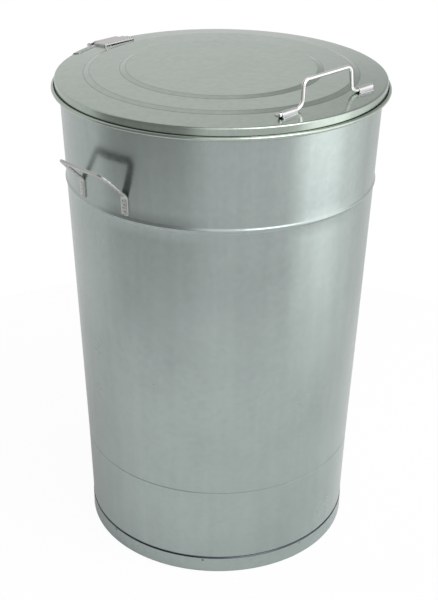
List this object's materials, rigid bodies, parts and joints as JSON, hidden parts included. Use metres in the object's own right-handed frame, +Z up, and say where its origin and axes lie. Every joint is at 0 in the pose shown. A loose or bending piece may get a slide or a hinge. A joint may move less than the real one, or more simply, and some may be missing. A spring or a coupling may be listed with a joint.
{
  "type": "trash_can",
  "caption": "Tall tapered sheet-metal trash can with a flat stepped lid on a rear hinge, a swinging wire lid handle and strap side handles",
  "frame": {"origin": "centre of the foot ring's flat lower edge, on the floor", "axes": "+Z up along the can's axis, -Y to the front where the lid handle is, +Y to the rear where the hinge is, -X and +X to the side handles"},
  "size_m": [0.5214, 0.4984, 0.7653],
  "materials": {
    "galvanized_sheet": "hot-dip galvanized sheet, semi-gloss with faint spangle",
    "galvanized_fittings": "galvanized pressed strip, semi-gloss",
    "bright_wire": "zinc-plated round wire, bright",
    "weld_marks": "dull spot-weld marks"
  },
  "bodies": {
    "can": {"can_wall": "galvanized_sheet", "rim_wire": "bright_wire", "bottom_pan": "galvanized_sheet", "foot_ring": "galvanized_sheet", "foot_ring_spot_welds": "weld_marks", "side_handle_right": "galvanized_fittings", "side_handle_left": "galvanized_fittings", "side_handle_spot_welds": "weld_marks", "hinge_bracket": "galvanized_fittings", "hinge_bracket_spot_welds": "weld_marks", "hinge_pin": "bright_wire"},
    "lid": {"lid_shell": "galvanized_sheet", "hinge_leaf": "galvanized_fittings", "hinge_leaf_spot_welds": "weld_marks", "lid_rim_strip": "galvanized_fittings", "lid_rim_strip_spot_welds": "weld_marks", "handle_clip_left": "galvanized_fittings", "handle_clip_right": "galvanized_fittings", "handle_clip_spot_welds": "weld_marks"},
    "lid_handle": {"lid_handle": "bright_wire"}
  },
  "joints": [
    {"name": "lid_hinge", "type": "hinge", "parent": "can", "child": "lid", "pos_m": [-0.014, 0.249, 0.7115], "axis": [-1, 0, 0], "range_deg": [0, 110]},
    {"name": "lid_handle_pivot", "type": "hinge", "parent": "lid", "child": "lid_handle", "pos_m": [0.003, -0.195, 0.72605], "axis": [1, 0, 0], "range_deg": [-75, 88]}
  ]
}
